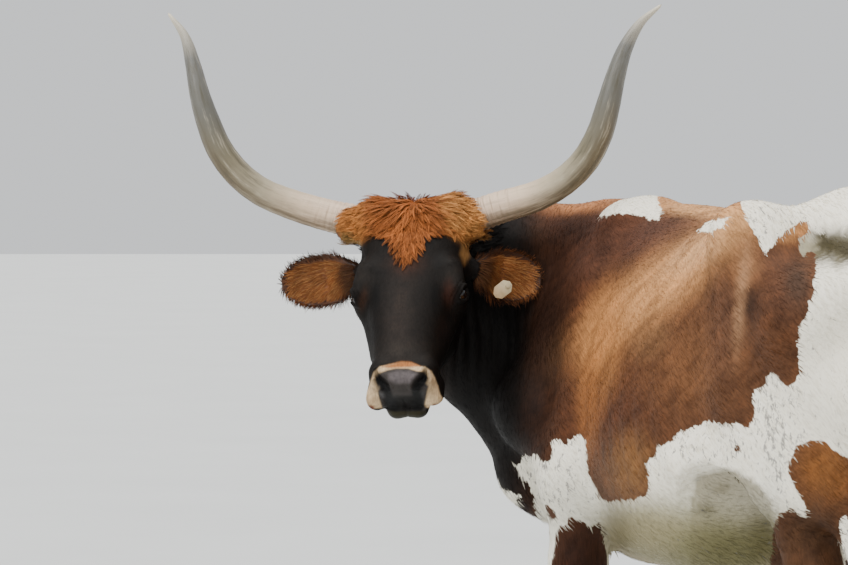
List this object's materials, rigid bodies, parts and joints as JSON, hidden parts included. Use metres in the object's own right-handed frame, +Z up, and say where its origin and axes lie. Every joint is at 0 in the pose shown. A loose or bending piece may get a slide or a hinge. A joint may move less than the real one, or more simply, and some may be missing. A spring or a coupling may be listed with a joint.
{
  "type": "texas longhorn cow model",
  "caption": "Life-size model of a Texas longhorn cow that stands with its head turned back past its left shoulder, with long upswept horns.",
  "frame": {"origin": "centre of the bounding box's footprint, on the ground that the hooves stand on", "axes": "+X towards the tail along the body, +Y to the cow's own right, +Z up; the head looks back along the left side, towards +X and -Y"},
  "size_m": [1.8608, 1.1202, 1.7234],
  "materials": {
    "hide_brown": "short brown and white hair on hide",
    "hide_dark": "short near-black brown hair on hide",
    "udder_skin": "sparsely haired pale skin",
    "horn": "cream to grey horn with a slight sheen",
    "hoof": "dark weathered hoof horn",
    "eye": "wet dark brown eye",
    "ear_tag": "plain cream plastic, blank"
  },
  "bodies": {
    "root": {"torso": "hide_brown", "neck": "hide_dark", "head": "hide_dark", "tail": "hide_brown", "udder": "udder_skin", "horn_left": "horn", "horn_right": "horn", "ear_left": "hide_dark", "ear_right": "hide_dark", "eye_left": "eye", "eye_right": "eye", "ear_tag": "ear_tag", "front_leg_left": "hide_brown", "front_hoof_left_outer": "hoof", "front_hoof_left_inner": "hoof", "front_leg_right": "hide_brown", "front_hoof_right_outer": "hoof", "front_hoof_right_inner": "hoof", "hind_leg_left": "hide_brown", "hind_hoof_left_outer": "hoof", "hind_hoof_left_inner": "hoof", "hind_leg_right": "hide_brown", "hind_hoof_right_outer": "hoof", "hind_hoof_right_inner": "hoof"}
  },
  "joints": []
}
